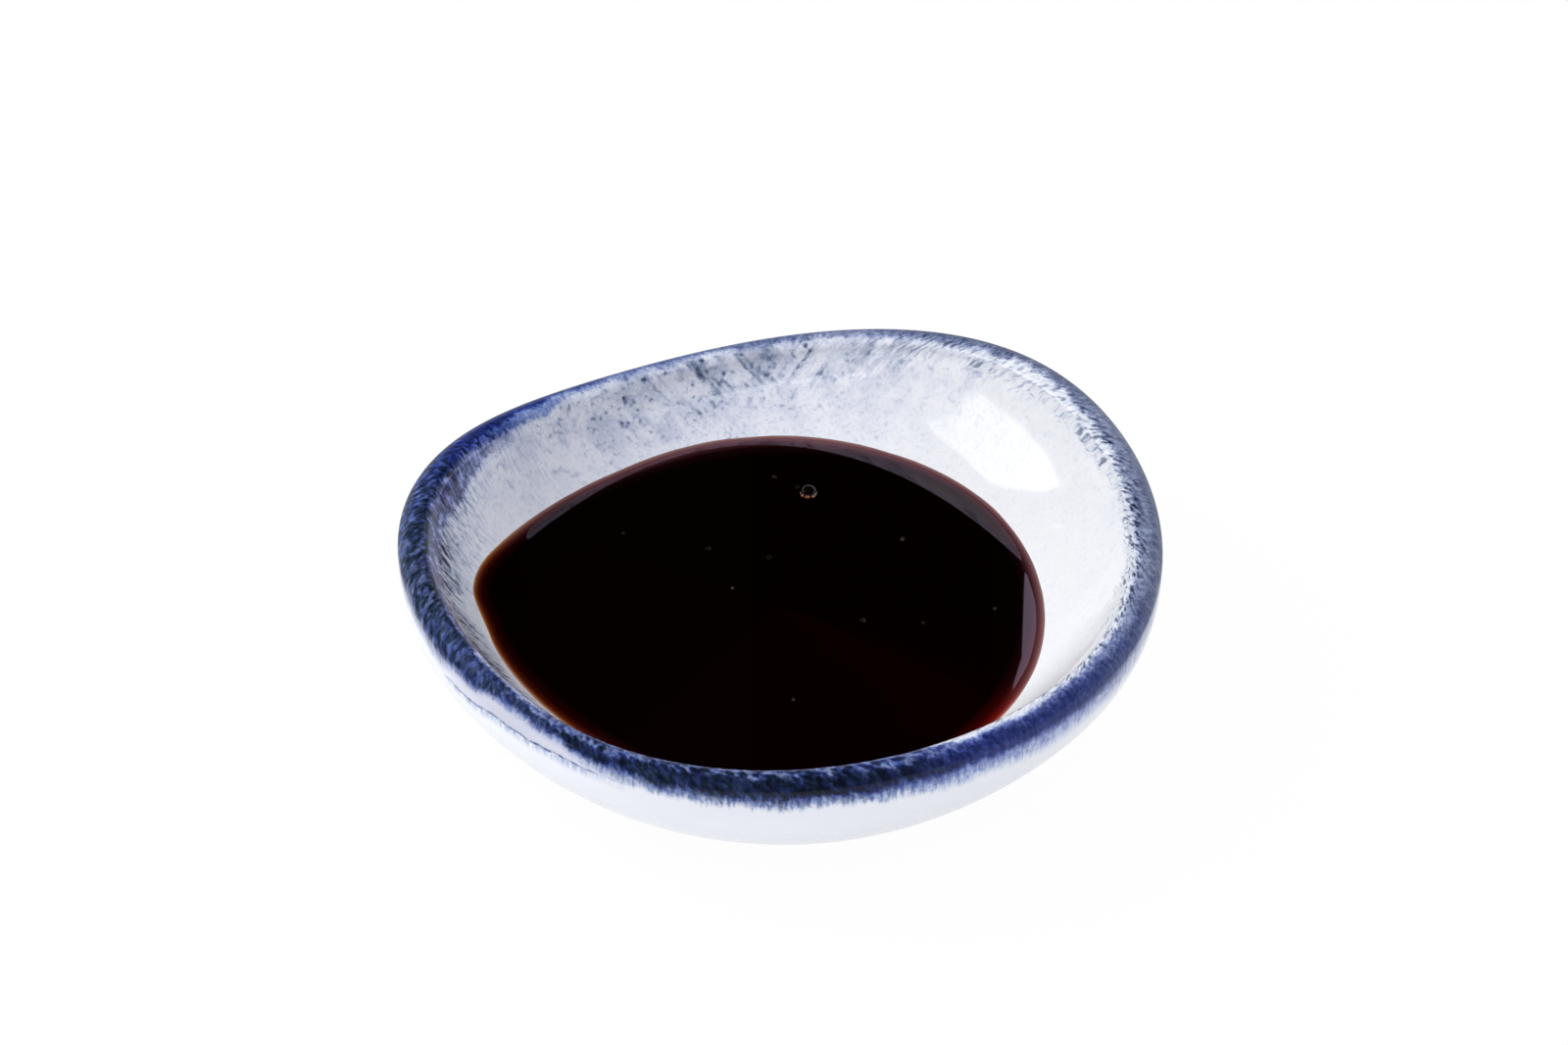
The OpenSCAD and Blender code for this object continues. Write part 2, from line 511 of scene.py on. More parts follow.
def makeRimPlaceGroup():
    # lays a flat drawing around the rim: mm along it, mm across it, without a seam
    numbers = {"Across": 0.0, "Slant": 0.0, "Pitch": 1.0, "Length": 4.0, "Seed": 0.0}
    group, place, wires, exitNode = shaderGroup("rimPlace", numbers, {"Vector": "Vector"})
    x, y = split(group, place)[:2]
    angle = y.math("ARCTAN2", x) + wires["Slant"] * wires["Across"] / ringRadius
    reach = wires["Pitch"] ** -1 * ringRadius
    turned = joined(
        group,
        angle.math("COSINE") * reach,
        angle.math("SINE") * reach,
        wires["Across"] / wires["Length"] + wires["Seed"] * 7.31,  # far from the other marks
    )
    feed(group, exitNode.inputs["Vector"], turned)
    return group


rimPlace = makeRimPlaceGroup()

# What the painter did around the rim, by angle: 0 right, 90 back, 180 left, 270 front.
# solid: mm inside the crest where the blue begins; wash: mm that a pale wash runs on inside it;
# outside: mm outside the crest where it ends; bleed: mm that it runs on below that;
# reach: mm inside the crest that a grey strip goes to, part thin paint and part painted shade; the others
# are shares of 0 to 1
# one share in this table is a painted reflection: the lilac sliver where a softbox's reflection parts the
# band on the outer lip at the lower left
rimNames = ("solid", "wash", "outside", "bleed", "thick", "strokes")
rimNames += ("weave", "violet", "slate", "dots", "gap", "reach")
rimZones = {
    0: (0.35, 1.3, 3, 3, 0.46, 0.2, 0, 0.5, 0.95, 0.8, 0, 0),
    20: (0, 1.3, 3.2, 2.6, 0.42, 0.2, 0, 0.4, 0.95, 0.6, 0, 0),
    40: (0.1, 0.7, 3.2, 2, 0.53, 0.3, 0, 0.4, 0.9, 0.35, 0, 0),
    60: (0.35, 1, 3.2, 1.8, 0.58, 0.2, 0, 0.4, 0.85, 0.4, 0, 0),
    80: (0.2, 0.8, 3.2, 1.8, 0.48, 0.2, 0, 0.3, 0.8, 0.1, 0, 0),
    100: (0.2, 0.4, 3.2, 2, 0.48, 0.2, 0, 0.2, 0.7, 0, 0, 0),
    112: (0, 0.8, 3.3, 2, 0.56, 0.2, 0, 0.2, 0.5, 0, 0, 0),
    126: (0.05, 0.7, 3.4, 2, 0.62, 0.1, 0, 0.1, 0.35, 0, 0, 0),
    136: (0.6, 1.9, 3.4, 2, 0.66, 0.1, 0.1, 0.1, 0.15, 0, 0, 0),
    146: (0.75, 1.7, 3.2, 1.8, 0.7, 0.2, 0.3, 0.1, 0.05, 0, 0, 3),
    156: (1, 0.9, 3.2, 1.8, 0.71, 0.2, 0.6, 0.1, 0.2, 0, 0, 4.2),
    166: (1.4, 0.5, 3.2, 1.8, 0.71, 0.2, 0.9, 0.1, 0.45, 0, 0, 6),
    178: (1.8, 0.3, 3.4, 1.8, 0.73, 0.2, 1, 0, 0.75, 0, 0, 5.6),
    194: (1.5, 0.3, 2.7, 2.6, 0.76, 0.2, 1, 0, 1, 0, 0, 4.8),
    206: (1.1, 0.3, 3.3, 2.4, 0.75, 0.2, 0.8, 0, 0.75, 0, 0.2, 3.8),
    214: (0.7, 0.3, 2.8, 1.6, 0.71, 0.3, 0.7, 0, 0.65, 0, 0.8, 3),
    226: (0.4, 0.6, 1.9, 1.6, 0.7, 0.4, 0.6, 0.1, 0.6, 0, 1, 2),
    236: (-0.5, 2.2, 1.9, 1.6, 0.84, 0.6, 0.4, 0.1, 0.5, 0, 0.8, 0.8),
    246: (-0.6, 2.8, 2.5, 1.8, 0.84, 0.9, 0.1, 0.1, 0.4, 0, 0.4, 0),
    257: (-0.5, 2.7, 2.9, 1.5, 0.82, 1, 0, 0.1, 0.5, 0, 0, 0),
    270: (-0.6, 2.9, 3.7, 1.4, 0.88, 1, 0, 0.1, 0.5, 0, 0, 0),
    286: (-0.7, 3, 3.8, 1.6, 0.82, 0.9, 0, 0.3, 0.3, 0, 0, 0),
    300: (-0.75, 0.5, 3.8, 2.6, 0.66, 0.4, 0, 0.7, 0.05, 0.4, 0, 0),
    316: (-0.6, 0.8, 3.9, 3.2, 0.63, 0.2, 0, 0.85, 0.15, 0.8, 0, 0),
    330: (-0.6, 1.2, 4, 3.2, 0.57, 0.2, 0, 0.7, 0.5, 0.8, 0, 0),
    345: (-0.4, 1.4, 3, 3.2, 0.48, 0.2, 0, 0.6, 0.9, 0.8, 0, 0),
}
# What the wall inside carries below the band, by angle, as shares of 0 to 1; the last is painted shade, the
# wall greyer and bluer where it faces away from the key light
wallNames = ("speckle", "left", "right", "streaks", "grey", "tone")
wallZones = {
    0: (0.15, 0, 0, 0, 0, 0),
    40: (0.15, 0, 0, 0, 0, 0.05),
    62: (0.4, 0, 0.25, 0, 0.05, 0.15),
    76: (0.7, 0, 0.8, 0, 0.15, 0.3),
    87: (0.9, 0.1, 1, 0, 0.3, 0.4),
    96: (1, 1, 0.1, 0, 0.9, 0.5),
    110: (1, 0.8, 0, 0, 0.8, 0.6),
    122: (0.9, 0.1, 0, 0, 0.5, 0.6),
    140: (0.6, 0, 0, 0.1, 0.4, 0.6),
    156: (0.5, 0, 0, 0.15, 0.4, 0.6),
    170: (0.6, 0, 0, 0.7, 0.5, 0.5),
    200: (0.5, 0, 0, 1, 0.5, 0.4),
    225: (0.4, 0, 0, 0.8, 0.5, 0.4),
    255: (0.3, 0, 0, 0.1, 0.2, 0.4),
    300: (0.15, 0, 0, 0.05, 0, 0.1),
}
# least and most of the zone values that are lengths, mm
zoneScale = {
    "solid": (-2, 4),
    "wash": (0, 8),
    "outside": (0, 6),
    "bleed": (0, 6),
    "reach": (0, 8),
}


def named(names, zones):
    return {angle: dict(zip(names, values)) for angle, values in zones.items()}


rimZones = named(rimNames, rimZones)
wallZones = named(wallNames, wallZones)


def setRamp(node, stops):
    elements = node.color_ramp.elements
    while len(elements) < len(stops):
        elements.new(0.5)
    for element, (position, colour) in zip(elements, stops):
        element.position = position
        element.color = colour


def zoneRamp(tree, turn, zones, names):
    # reads up to three of the zone values at once, as the colours of one ramp
    node = tree.nodes.new("ShaderNodeValToRGB")
    node.color_ramp.interpolation = "EASE"
    stops = sorted(((angle - 90) % 360 / 360, zone) for angle, zone in zones.items())
    first, last = stops[0], stops[-1]
    share = (1 - last[0]) / (first[0] + 1 - last[0])
    ends = {name: blend(share, last[1][name], first[1][name]) for name in names}
    spans = [zoneScale.get(name, (0, 1)) for name in names]
    colours = []
    for position, zone in [(0, ends)] + stops + [(1, ends)]:
        parts = [(zone[name] - low) / (high - low) for name, (low, high) in zip(names, spans)]
        colours.append((position, (*(parts + [0] * 3)[:3], 1)))
    setRamp(node, colours)
    feed(tree, node.inputs["Fac"], turn)
    channels = split(tree, node.outputs["Color"])
    return [part * (high - low) + low for part, (low, high) in zip(channels, spans)]


def colourStops(*rows):
    return [(position, sRGB(*colour)) for position, *colour in rows]


# Colour of the paint by how thick it lies, on a scale of 0 to 1
cobaltStops = colourStops(
    (0, 255, 255, 255),
    (0.12, 216, 225, 242),
    (0.3, 140, 164, 214),
    (0.44, 88, 118, 192),
    (0.58, 40, 64, 148),
    (0.72, 22, 34, 94),
    (0.88, 16, 20, 54),
    (1, 12, 14, 30),
)
violetStops = colourStops(
    (0, 255, 255, 255),
    (0.12, 218, 224, 244),
    (0.3, 148, 158, 208),
    (0.46, 88, 98, 164),
    (0.6, 52, 62, 124),
    (0.76, 34, 38, 92),
    (0.9, 22, 24, 52),
    (1, 14, 16, 32),
)
slateStops = colourStops(
    (0, 255, 255, 255),
    (0.12, 214, 219, 234),
    (0.3, 158, 165, 187),
    (0.5, 104, 113, 140),
    (0.68, 58, 70, 98),
    (0.84, 32, 44, 60),
    (1, 16, 24, 34),
)
inkStops = colourStops(
    (0, 255, 255, 255),
    (0.2, 214, 219, 232),
    (0.42, 154, 165, 186),
    (0.68, 90, 101, 126),
    (1, 28, 32, 48),
)


def paintColour(tree, thick, stops):
    node = tree.nodes.new("ShaderNodeValToRGB")
    setRamp(node, stops)
    feed(tree, node.inputs["Fac"], thick)
    return node.outputs["Color"]


# Brush marks, laid around the rim: slant, mm from one to the next, mm long, seed, detail, and the
# two levels of the noise between which a mark fills in
brushMarks = {
    "slow": (0.2, 5, 6, 2, 1, 0.26, 0.74),
    "dabs": (0.7, 1, 1.5, 4, 1, 0.26, 0.74),
    "strokes": (0.3, 0.9, 0.8, 5, 0, 0.4, 0.66),
    "upright": (0, 0.5, 1.9, 1, 2, 0.26, 0.74),
    "knots": (0.8, 0.95, 0.75, 21, 0, 0.42, 0.66),
    "thread": (0.9, 0.55, 1.4, 22, 1, 0.26, 0.74),
    "left strokes": (0.7, 1.3, 8, 8, 1, 0.46, 0.76),
    "left bunches": (0.6, 3.6, 6, 9, 0, 0.36, 0.56),
    "right strokes": (-0.7, 1.2, 7, 10, 1, 0.45, 0.76),
    "right bunches": (-0.6, 3, 6, 11, 0, 0.34, 0.54),
    "broken": (0.3, 0.9, 1.1, 12, 1, 0.26, 0.74),
    "streaks": (0, 0.42, 4.6, 13, 2, 0.46, 0.66),
    "streak bunches": (0.1, 1.6, 3, 14, 1, 0.32, 0.6),
    "dashes": (0.3, 0.5, 1.8, 15, 1, 0.5, 0.7),
    "patches": (0.3, 1.7, 1.5, 23, 2, 0.26, 0.74),
    "flecks": (-1.5, 0.72, 0.8, 17, 1, 0.45, 0.68),
    "fleck bunches": (-0.5, 2, 2.4, 18, 1, 0.26, 0.54),
    "haze": (-1.2, 1, 1.6, 19, 2, 0.28, 0.72),
}
# How dark the grey ink inside lies in each kind of mark, on a scale of 0 to 1
inkShare = {
    "clouds": 0.15,
    "grain": 0.16,
    "specks": 0.38,
    "dots": 0.3,
    "strokes": 0.42,
    "streaks": 0.95,
    "dashes": 0.75,
    "grey": 0.08,
    # the strip's grey: part paint, part painted shade
    "strip": 0.5,
    "flecks": 0.85,
    "haze": 0.42,
}
glazeColour = {
    "bare": sRGB(255, 255, 255),  # changes nothing when multiplied
    "outside": sRGB(237, 240, 248),
    "inside": sRGB(242, 243, 247),
    # painted shade: the inside glaze as it looks where the wall faces away from the key light
    "shaded inside": sRGB(227, 230, 247),
    # a painted reflection: the lilac of a softbox's reflection on the outer lip
    "gap": sRGB(198, 200, 217),
    # the strip's tint: part paint, part painted shade
    "strip tint": sRGB(204, 208, 255),
    "fleck": sRGB(34, 40, 54),
}


def makePaintGroup():
    outputs = {"Color": "Color", "Paint": "Float"}
    group, place, wires, exitNode = shaderGroup("rimPaint", {"Across": 0.0}, outputs)
    across = wires["Across"]
    turn = rimTurn(group, place)
    solid, wash, outside = zoneRamp(group, turn, rimZones, ("solid", "wash", "outside"))
    thick, strokeShare, weave = zoneRamp(group, turn, rimZones, ("thick", "strokes", "weave"))
    violet, slate, dots = zoneRamp(group, turn, rimZones, ("violet", "slate", "dots"))
    bleed, gap, reach = zoneRamp(group, turn, rimZones, ("bleed", "gap", "reach"))
    speckle, leftHatch, rightHatch = zoneRamp(group, turn, wallZones, ("speckle", "left", "right"))
    streaks, grey, tone = zoneRamp(group, turn, wallZones, ("streaks", "grey", "tone"))

    def marks(name):
        slant, pitch, length, seed, detail, low, high = brushMarks[name]
        values = {"Slant": slant, "Pitch": pitch, "Length": length, "Seed": seed}
        laid = useGroup(group, rimPlace, Place=place, Across=across, **values).outputs[0]
        return noiseAt(group, laid, detail=detail).ease(low, high)

    slow = marks("slow") - 0.5
    dabs = marks("dabs") - 0.5
    strokes = marks("strokes")
    upright = marks("upright") - 0.5
    grain = noiseAt(group, place, scale=1.9, detail=3.0, roughness=0.6) - 0.5

    # the band: a pale wash at its inner edge, the full stroke, and a soft run below
    inner = solid + slow * 0.7 + dabs * strokeShare * 0.5 + grain * 0.9 - across
    ragged = dots * 0.6 - weave * 0.25
    pale = inner.ease(-0.5 - wash, 0.6 - wash)
    core = inner.ease(-0.45 - ragged, 0.65 + ragged)
    bristle = (strokeShare * 0.16 + 0.12) * (1 - gap)
    lower = across + outside + slow * 0.6 + dabs * strokeShare * 0.25
    lower = lower + upright * bristle + grain * 0.4
    body = lower.ease(-0.5, 0.9)
    # where the painted reflection parts the band, the band's run is cut short to its body
    run = (lower + upright * bristle * 1.6).ease(bleed * (gap * 0.8 - 1) - 0.5, -0.1)
    run = blend(gap, run, body)
    palest = strokeShare * 0.2 + weave * 0.12 + 0.25
    amount = pale * run * palest + core * body * (thick - palest)
    shown = amount.ease(0.02, 0.25)
    tones = upright * 0.1 + grain * 0.3 + (dabs * 0.2 + (strokes - 0.4) * 0.08) * strokeShare * body
    amount = amount + tones * shown + (strokes * 0.26 + 0.08) * strokeShare * pale * (1 - core)
    # a knit of pale dabs in a dark net on the lip at the left
    knots = marks("knots")
    thread = marks("thread") - 0.5
    amount = amount - weave * (knots * 0.24 + thread * 0.22 - 0.05) * amount.ease(0.15, 0.8)
    amount = amount + abs(inner - 0.1).ease(0.35, 0.0) * weave * 0.2
    # at the lower left a painted reflection of a softbox parts the band from its lower edge; below it the
    # band's paint shows again as a thin line over a pale run
    low = across * -1 - (outside + 2.8 - strokeShare * 1.6 + slow * 0.5)
    line = (abs(low) - grain * 0.4).ease(0.32, 0.02) * (0.38 + dabs * 0.4)
    under = low.ease(-0.1, 0.15) * low.ease(1.8, 0.0) * (0.16 + upright * 0.3)
    amount = amount.atLeast(line.atLeast(under) * gap.ease(0.2, 0.7)).clamped()

    cobalt = paintColour(group, amount, cobaltStops)
    blue = mixed(group, violet, cobalt, paintColour(group, amount, violetStops))
    dusty = slate + strokeShare * 0.5 * thread.ease(-0.05, 0.3) + weave * (0.3 - knots * 0.6)
    blue = mixed(group, dusty.clamped(), blue, paintColour(group, amount, slateStops))

    # grey ink inside: clouds and specks all over the wall
    insideOnly = across.ease(-0.4, 1.0)
    nearRim = across.ease(17.0, 3.0)
    cloud = noiseAt(group, place, scale=0.22, detail=4.0, roughness=0.6).ease(0.4, 0.64)
    ink = cloud * speckle * (0.04 + nearRim * inkShare["clouds"])
    ink = ink + grain.ease(-0.04, 0.3) * (speckle * inkShare["grain"] + 0.03)
    specks = noiseAt(group, place, scale=0.7, detail=1.0).ease(0.54, 0.8) * inkShare["specks"]
    specks = specks + noiseAt(group, place, scale=1.4, detail=1.0).ease(0.54, 0.8) * inkShare["dots"]
    crowd = noiseAt(group, place, scale=0.3, detail=1.0).ease(0.38, 0.6) * 0.7 + 0.3
    ink = ink + specks * crowd * speckle * (nearRim * 0.7 + 0.3)
    # soft strokes at the back, in two directions, darker at their heads
    heads = across.ease(12.0, 2.5) * across.ease(0.4, 1.6)
    hatch = marks("left strokes") * marks("left bunches") * leftHatch
    hatch = hatch + marks("right strokes") * marks("right bunches") * rightHatch
    broken = marks("broken")
    ink = ink + hatch * heads * (broken * inkShare["strokes"] + 0.2)
    # long thin streaks down the wall at the left, with short dashes among them
    combed = marks("streaks") * marks("streak bunches") * inkShare["streaks"]
    combed = combed + marks("dashes") * inkShare["dashes"] + broken * 0.16
    fall = (across + slow * 5).ease(15.0, 4.5) * (across - reach).ease(-0.8, 0.2)
    ink = ink + combed * streaks * fall + grey * nearRim * inkShare["grey"]
    # a grey strip beside the band at the left, part thin brushed paint and part painted shade on the lip's
    # inner side, which faces away from the key light, edged by a painted highlight along the shoulder
    patch = marks("patches") - 0.5
    stripEdge = across - reach + slow * 1.2 + upright * 0.9 + thread * 0.4
    brushedAndShaded = upright * 0.5 + patch * 0.6 + grain * 0.5 + inkShare["strip"]
    strip = reach.ease(0.5, 5.5) * inner.ease(0.35, -0.35)
    ink = ink + strip * (stripEdge.ease(0.8, -0.6) * brushedAndShaded)
    # painted highlight: a pale line along the strip's edge, where the shoulder catches the light
    ink = ink - strip * abs(stripEdge).ease(0.3, 0.05) * streaks * 0.16
    # dark flecks in and under the band at the right
    fleckReach = (across + slow * 3.0).ease(5.6, 2.0) * (across - solid).ease(-2.2, 0.2)
    flecks = marks("flecks") * marks("fleck bunches") * fleckReach * dots
    haze = marks("haze") * across.ease(4.4, 0.4) * dots
    ink = ink + flecks * inkShare["flecks"] + haze * inkShare["haze"]
    ink = (ink * insideOnly).clamped()

    white = mixed(group, insideOnly, glazeColour["outside"], glazeColour["inside"])
    # painted shade: the wall greyer and bluer at the back and left, which face away from the key light
    white = mixed(group, tone * insideOnly, white, glazeColour["shaded inside"])
    # painted reflection: the lilac of a softbox's reflection in the sliver on the outer lip at the lower
    # left
    inPaintedReflection = gap * across.ease(-1.2, -2.0) * low.ease(0.3, -0.2)
    white = mixed(group, inPaintedReflection, white, glazeColour["gap"])
    white = multiplied(group, white, paintColour(group, ink, inkStops))
    # the strip's violet tint, part paint and part painted shade
    inStrip = strip * stripEdge.ease(1.2, -0.6)
    tint = mixed(group, inStrip, glazeColour["bare"], glazeColour["strip tint"])
    white = multiplied(group, multiplied(group, white, tint), blue)
    onPaint = (flecks * amount.ease(0.0, 0.3) * 0.6).clamped()
    speckled = mixed(group, onPaint, white, glazeColour["fleck"])
    feed(group, exitNode.inputs["Color"], speckled)
    feed(group, exitNode.inputs["Paint"], amount)
    return group


rimPaint = makePaintGroup()

# heights and depths in mm, scales in waves, grains or cells to a mm
glazeSkin = {
    "wave scale": 0.07,
    "wave height": 0.05,
    "peel scale": 0.9,
    "peel height": 0.0016,
    "pit scale": 0.22,
    "pit depth": 0.03,
    "paint height": 0.0015,
    "roughness": 0.045,
}


def makeSurfaceGroup():
    # a fired glaze: slow waves, a fine peel, and a few pinholes
    outputs = {"Height": "Float", "Roughness": "Float", "Pits": "Float"}
    group, place, wires, exitNode = shaderGroup("glazeSurface", {"Wave": 1.0, "Paint": 0.0}, outputs)
    skin = glazeSkin
    wave = noiseAt(group, place, scale=skin["wave scale"], detail=1.0) * skin["wave height"]
    peel = noiseAt(group, place, scale=skin["peel scale"], detail=1.0) * skin["peel height"]
    distance, own = cellsAt(group, place, skin["pit scale"])
    pit = distance.ease(0.045, 0.01) * own.ease(0.72, 0.8)
    height = (wave + peel) * wires["Wave"] - pit * skin["pit depth"]
    feed(group, exitNode.inputs["Height"], height + wires["Paint"] * skin["paint height"])
    rough = noiseAt(group, place, scale=0.5, detail=2.0) * 0.05 + pit * 0.2
    feed(group, exitNode.inputs["Roughness"], rough + skin["roughness"])
    feed(group, exitNode.inputs["Pits"], pit)
    return group


glazeSurface = makeSurfaceGroup()


def newFinish(name):
    material = bpy.data.materials.new(name)
    material.use_nodes = True
    tree = material.node_tree
    return material, tree, tree.nodes["Principled BSDF"]


def objectPlace(tree):
    # Object coordinates in mm
    node = tree.nodes.new("ShaderNodeTexCoord")
    scale = tree.nodes.new("ShaderNodeVectorMath")
    scale.operation = "SCALE"
    tree.links.new(node.outputs["Object"], scale.inputs[0])
    scale.inputs["Scale"].default_value = 1 / mm
    return scale.outputs[0]


def keptNumber(tree, label):
    node = tree.nodes.new("ShaderNodeAttribute")
    node.attribute_name = label
    return Wire(tree, node.outputs["Fac"])


def dress(tree, shader, colour, roughness, height=None):
    # height is the relief of the surface, in mm
    feed(tree, shader.inputs["Base Color"], colour)
    feed(tree, shader.inputs["Roughness"], roughness)
    if height is not None:
        bump = tree.nodes.new("ShaderNodeBump")
        bump.inputs["Distance"].default_value = mm
        feed(tree, bump.inputs["Height"], height)
        tree.links.new(bump.outputs["Normal"], shader.inputs["Normal"])


def glazeFinish(name):
    material, tree, shader = newFinish(name)
    place = objectPlace(tree)
    paint = useGroup(tree, rimPaint, Place=place, Across=keptNumber(tree, "across"))
    surface = useGroup(tree, glazeSurface, Place=place, Wave=0.5, Paint=paint.outputs["Paint"])
    dress(tree, shader, paint.outputs["Color"], surface.outputs["Roughness"], surface.outputs["Height"])
    return material


def baseGlazeFinish():
    # the white glaze inside the foot ring, a little uneven and with a few pinholes
    material, tree, shader = newFinish("baseGlaze")
    place = objectPlace(tree)
    surface = useGroup(tree, glazeSurface, Place=place, Wave=1.0, Paint=0.0)
    cloud = noiseAt(tree, place, scale=0.12, detail=3.0).ease(0.3, 0.7)
    speckDistance, speckOwn = cellsAt(tree, place, 0.35)
    speck = speckDistance.ease(0.16, 0.05) * speckOwn.ease(0.7, 0.9)
    white = mixed(tree, cloud, sRGB(232, 235, 243), sRGB(240, 241, 246))
    white = mixed(tree, speck * 0.5, white, sRGB(150, 158, 178))
    pits = Wire(tree, surface.outputs["Pits"])
    pitted = mixed(tree, pits * 0.6, white, sRGB(150, 132, 110))
    dress(tree, shader, pitted, surface.outputs["Roughness"], surface.outputs["Height"])
    return material


porcelain = {
    "grain": 3.0,  # grains in a mm
    "grain height": 0.012,
    "toast height": 0.9,  # mm above the table where the clay starts to brown towards the glaze
    "worn height": 0.12,  # mm of the foot ring that stands on the table and greys
}


def porcelainFinish():
    # bare fired clay: fine grain, browned where the glaze stops, greyed where it stands
    material, tree, shader = newFinish("barePorcelain")
    place = objectPlace(tree)
    z = split(tree, place)[2]
    grain = noiseAt(tree, place, scale=porcelain["grain"], detail=4.0, roughness=0.65)
    cloud = noiseAt(tree, place, scale=0.3, detail=2.0)
    clay = mixed(tree, grain.ease(0.35, 0.7), sRGB(226, 219, 206), sRGB(240, 236, 228))
    toast = (z + (cloud - 0.5) * 0.7).ease(porcelain["toast height"], dish["Foot height"] + 0.1)
    clay = mixed(tree, toast * 0.55, clay, sRGB(206, 172, 132))
    worn = (z + (cloud - 0.5) * 0.1).ease(porcelain["worn height"], 0.0)
    clay = mixed(tree, worn * grain.ease(0.4, 0.6) * 0.35, clay, sRGB(176, 172, 164))
    roughness = 0.72 + (grain - 0.5) * 0.2 - worn * 0.12
    dress(tree, shader, clay, roughness, grain * porcelain["grain height"])
    return material


for node, finish in (("porcelain_body", porcelainFinish()), ("base_glaze", baseGlazeFinish())):
    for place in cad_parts[node].material_slots:
        place.material = finish

coatTree = makeCoatTree()
for name, stop, rows, finish, node, slot in (
    ("speckledInside", 0, 64, "speckledGlaze", "inner_glaze", "speckled_glaze"),
    ("blueRim", 1, 44, "paintedGlaze", "rim_glaze", "blue_glaze"),
    ("whiteOutside", 2, 60, "whiteGlaze", "outer_glaze", "white_glaze"),
):
    stops = {"From stop": stop, "To stop": stop + 1, "Rows": rows}
    coat = grow(name, coatTree, stops, glazeFinish(finish))
    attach(coat, "root")
    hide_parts(node)

# The pool of sauce: a level surface whose edge climbs the wall
pool = {
    "Around": 360,
    "Rows": 56,
    "Sauce height": 8.2,
    "Climb height": 0.25,
    "Climb width": 1.25,
    "Tip climb": 1.5,  # where the sauce has crept up at the left
    "Tip turn": 177.0,
    "Tip spread": 6.0,
    "Tip tail": 17.0,
    "Bay climb": -0.25,
    "Bay turn": 189.0,
    "Bay spread": 4.0,
    "Shelf climb": 0.42,  # and where a film of it hangs on the wall below that
    "Shelf turn": 214.0,
    "Shelf spread": 16.0,
    "Film reach": 5.5,  # mm that the film runs down the wall for each mm that it climbs
    "Film fall": 1.5,
    "Waver": 0.05,
    "Bite": 0.06,  # mm that it goes into the glaze, for a clean edge
}
# waver of the sauce's edge: crests around the dish, degrees that they are turned by, share
ripples = ((7, 40, 1), (19, 10, 0.5), (31, -90, 0.3))
deepest = 9.0  # mm, more than any depth of the sauce
fullDepth = 2.0  # mm of sauce over the wall, from which its colour stays


def makePoolTree():
    tree, size, finish = newTree("saucePool", dict(dish, **pool), counts=("Around", "Rows"))
    mesh, angle, share = gridRows(tree, size["Rows"] * 2 + 1, size["Around"])
    rule = DishRule(tree, size, angle)

    def bump(label, tail=None):
        away = angle - size[label + " turn"]
        spread = size[label + " spread"]
        if tail:
            spread = blend(away.under(0), spread, size[tail])
        away = away / spread
        return size[label + " climb"] * (away * away * -1).math("EXPONENT")

    ripple = sum((angle * crests + turned).cosine() * part for crests, turned, part in ripples)
    waver = size["Waver"] * ripple
    level = size["Sauce height"]
    crept = bump("Tip", "Tip tail") + bump("Shelf")
    top = level + size["Climb height"] + crept + bump("Bay") + waver
    wet = rule.wallShareAt(top)
    edgeX, edgeY = rule.wall(wet, size["Bite"])[:2]
    reach = (edgeX * edgeX + edgeY * edgeY) ** 0.5
    # the rows go out along the surface and come back along the wall and floor under it
    below, forward = thereAndBack(size, share)
    out = 1 - (1 - forward) * (1 - forward)  # more rows near the edge
    fromEdge = (1 - out) * reach
    climb = (1 - fromEdge / size["Climb width"]).clamped() ** 3
    film = (1 - fromEdge / (crept * size["Film reach"] + 0.5)).clamped() ** size["Film fall"]
    surface = (edgeX * out, edgeY * out, level + (top - level - crept) * climb + crept * film)
    bottom = rule.place(forward * (wet + 1), size["Bite"])
    spot = blend(below, surface, bottom)
    # depth of the sauce over the wall, mm
    floorX, floorY = rule.lobed("Floor width")
    floorReach = floorX * rule.unitX + floorY * rule.unitY
    wallReach = rule.outline - size["Lip thickness"]
    onWall = ((reach * out - floorReach) / (wallReach - floorReach)).clamped()
    wallHeight = size["Floor height"] + (rule.lipHeight - size["Floor height"]) * (onWall * onWall)
    mesh = keepNumber(tree, mesh, "sauceDepth", (surface[2] - wallHeight).clamped(0.0, deepest))
    mesh = keepNumber(tree, mesh, "fromEdge", fromEdge)
    mesh = shaped(tree, mesh, spot)
    finished(tree, mesh, finish)
    return tree


# Colour of the sauce by the depth of it over the white wall, as a share of fullDepth, where it
# lies in the plain light and where light comes through its edge
sauceStops = colourStops(
    (0, 140, 112, 108),
    (0.06, 116, 79, 82),
    (0.16, 90, 56, 61),
    (0.34, 58, 28, 33),
    (0.6, 18, 3, 4),
    (1, 3, 0, 0),
)
glowStops = colourStops(
    (0, 176, 146, 116),
    (0.05, 146, 92, 50),
    (0.12, 108, 50, 20),
    (0.26, 64, 18, 6),
    (0.5, 28, 2, 1),
    (1, 4, 0, 0),
)
redStops = colourStops(
    (0, 184, 132, 116),
    (0.08, 132, 52, 40),
    (0.2, 98, 16, 12),
    (0.5, 48, 3, 3),
    (1, 9, 0, 0),
)
# where around the dish light comes through the edge, brown or red, as shares of 0 to 1
glowNames = ("glow", "red")
glowZones = {
    0: (0, 0),
    140: (0, 0),
    168: (1, 0),
    222: (1, 0),
    245: (0.3, 0.5),
    290: (0, 0.6),
    318: (0, 1),
    336: (0, 0.2),
}


